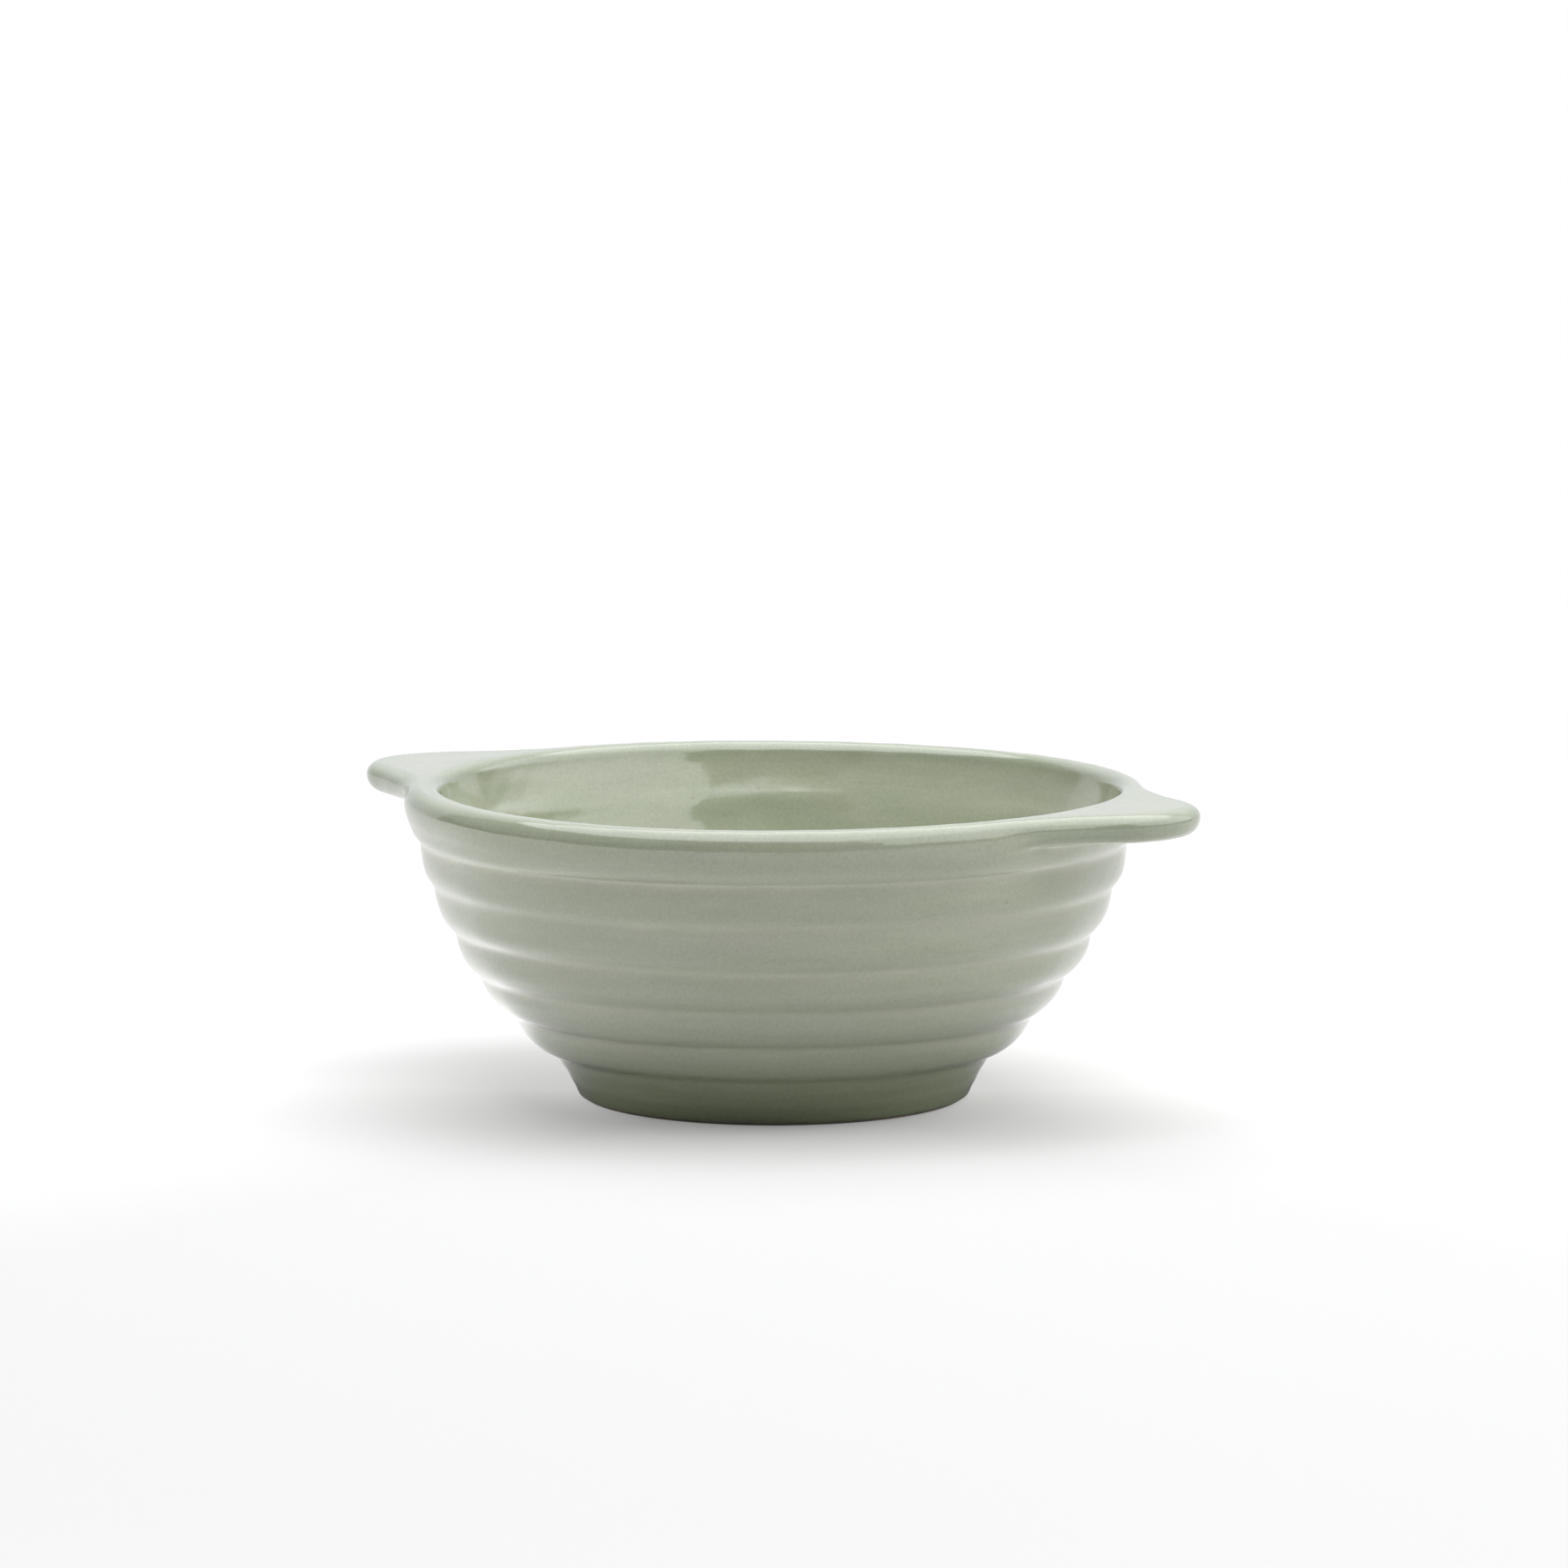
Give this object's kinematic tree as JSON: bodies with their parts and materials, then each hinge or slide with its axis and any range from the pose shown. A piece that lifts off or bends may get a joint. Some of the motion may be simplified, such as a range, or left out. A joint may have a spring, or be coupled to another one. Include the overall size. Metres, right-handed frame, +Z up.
{
  "type": "lug soup bowl",
  "caption": "Round ribbed soup bowl on a low flared foot, with a flat tab lug on each side of the rim to lift it by.",
  "frame": {"origin": "centre of the foot, on the plane that the bowl stands on", "axes": "+Z up along the bowl's axis, +X out through the right lug, +Y to the back"},
  "size_m": [0.179, 0.147, 0.0615],
  "materials": {
    "clay": "matte",
    "glaze": "gloss"
  },
  "bodies": {
    "root": {"bowl_body": "clay", "foot_ring": "clay", "left_lug": "clay", "right_lug": "clay", "outside_glaze": "glaze", "inside_glaze": "glaze", "base_glaze": "glaze", "left_lug_glaze": "glaze", "right_lug_glaze": "glaze"}
  },
  "joints": []
}
